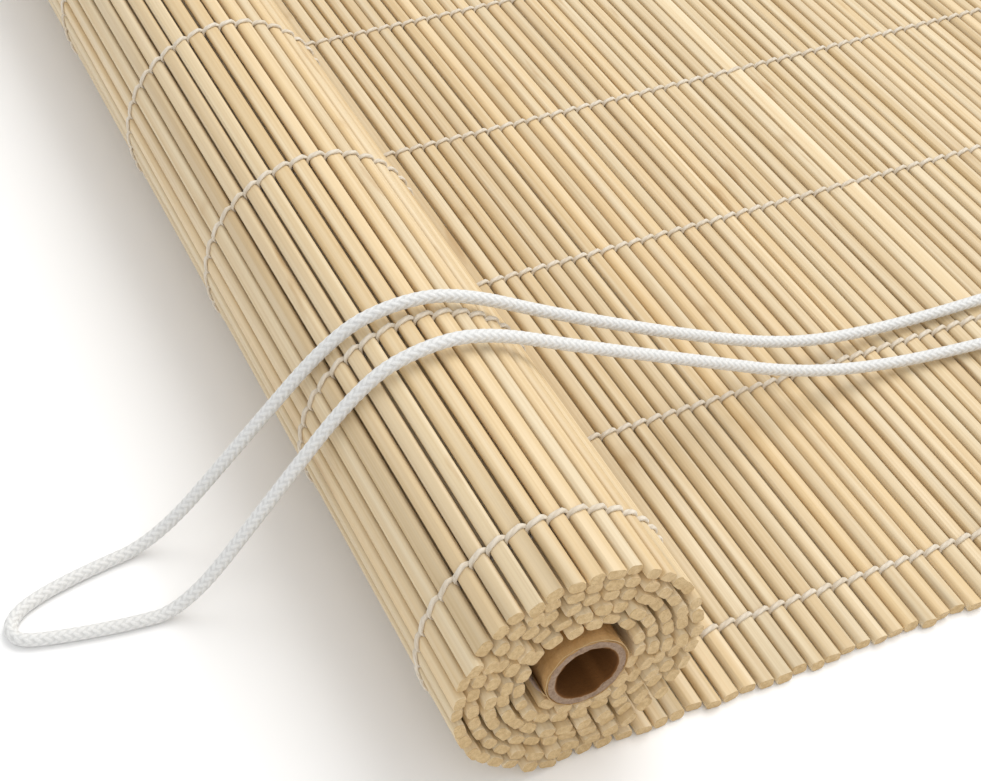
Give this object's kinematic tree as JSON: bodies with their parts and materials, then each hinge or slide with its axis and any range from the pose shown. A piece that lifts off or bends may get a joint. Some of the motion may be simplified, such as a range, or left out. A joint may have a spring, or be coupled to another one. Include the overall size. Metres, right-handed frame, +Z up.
{
  "type": "bamboo roll-up blind",
  "caption": "Roll-up window blind of split bamboo sticks sewn side by side, part rolled on a card core, with a wooden head rail, pulleys and a doubled pull cord.",
  "frame": {"origin": "middle of the footprint, on the surface that the blind lies on", "axes": "+Z up, away from the surface; +X along the mat from the roll to the head rail; +Y along the sticks, away from the pull cord's side"},
  "size_m": [1.0402, 0.602, 0.0708],
  "materials": {
    "bamboo": "split bamboo, unvarnished, satin",
    "seam_thread": "twined cotton yarn",
    "core_board": "spiral-wound kraft board, raw ends",
    "rail_wood": "planed pale wood",
    "zinc_steel": "zinc-plated",
    "housing_plastic": "moulded, matt",
    "wheel_plastic": "moulded nylon",
    "cord_cotton": "braided cotton"
  },
  "bodies": {
    "blind": {"roll_sticks_turn_1": "bamboo", "roll_sticks_turn_2": "bamboo", "roll_sticks_turn_3": "bamboo", "roll_sticks_turn_4": "bamboo", "roll_sticks_turn_5": "bamboo", "roll_sticks_turn_6": "bamboo", "mat_sticks_1": "bamboo", "mat_sticks_2": "bamboo", "mat_sticks_3": "bamboo", "mat_sticks_4": "bamboo", "mat_sticks_5": "bamboo", "mat_sticks_6": "bamboo", "mat_sticks_7": "bamboo", "mat_sticks_8": "bamboo", "wide_slat": "bamboo", "seam_1": "seam_thread", "seam_2": "seam_thread", "seam_3": "seam_thread", "seam_4": "seam_thread", "seam_5": "seam_thread", "seam_6": "seam_thread", "seam_7": "seam_thread", "seam_8": "seam_thread", "seam_9": "seam_thread", "core_tube": "core_board", "head_rail": "rail_wood", "mat_staples": "zinc_steel", "twin_pulley_housing": "housing_plastic", "far_pulley_housing": "housing_plastic", "twin_pulley_pin": "zinc_steel", "far_pulley_pin": "zinc_steel", "pulley_screws": "zinc_steel", "hanger_near": "zinc_steel", "hanger_far": "zinc_steel", "hanger_screws": "zinc_steel", "pull_cord": "cord_cotton"},
    "lower_wheel": {"twin_wheel_lower": "wheel_plastic"},
    "upper_wheel": {"twin_wheel_upper": "wheel_plastic"},
    "far_wheel": {"far_wheel": "wheel_plastic"}
  },
  "joints": [
    {"name": "lower_wheel_spin", "type": "hinge", "parent": "blind", "child": "lower_wheel", "pos_m": [0.43218, -0.201, 0.01091], "axis": [0, 0, 1], "continuous": true},
    {"name": "upper_wheel_spin", "type": "hinge", "parent": "blind", "child": "upper_wheel", "pos_m": [0.43218, -0.201, 0.01091], "axis": [0, 0, 1], "continuous": true},
    {"name": "far_wheel_spin", "type": "hinge", "parent": "blind", "child": "far_wheel", "pos_m": [0.43218, 0.2112, 0.01091], "axis": [0, 0, 1], "continuous": true}
  ]
}
